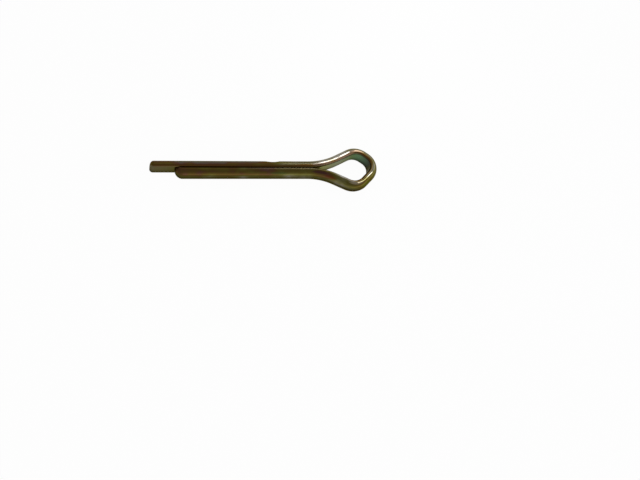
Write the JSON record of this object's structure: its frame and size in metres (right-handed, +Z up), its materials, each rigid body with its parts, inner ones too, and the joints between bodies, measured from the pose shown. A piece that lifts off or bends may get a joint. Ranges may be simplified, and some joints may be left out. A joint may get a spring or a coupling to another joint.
{
  "type": "cotter pin",
  "caption": "Split pin of half-round wire: a round shank of two flat-faced legs, one reaching further than the other, opening into a skewed teardrop eye.",
  "frame": {"origin": "on the shank's axis, where the straight shank ends and the eye starts", "axes": "+X along the shank towards the eye, +Y towards the long leg's side, +Z up, square to the eye's plane; the pin lies flat on its side"},
  "size_m": [0.0738, 0.0147, 0.0054],
  "materials": {
    "plated_wire": "yellow chromated zinc plating on drawn steel wire, glossy, with olive, brown and purple tints"
  },
  "bodies": {
    "root": {"cotter_pin": "plated_wire"}
  },
  "joints": []
}
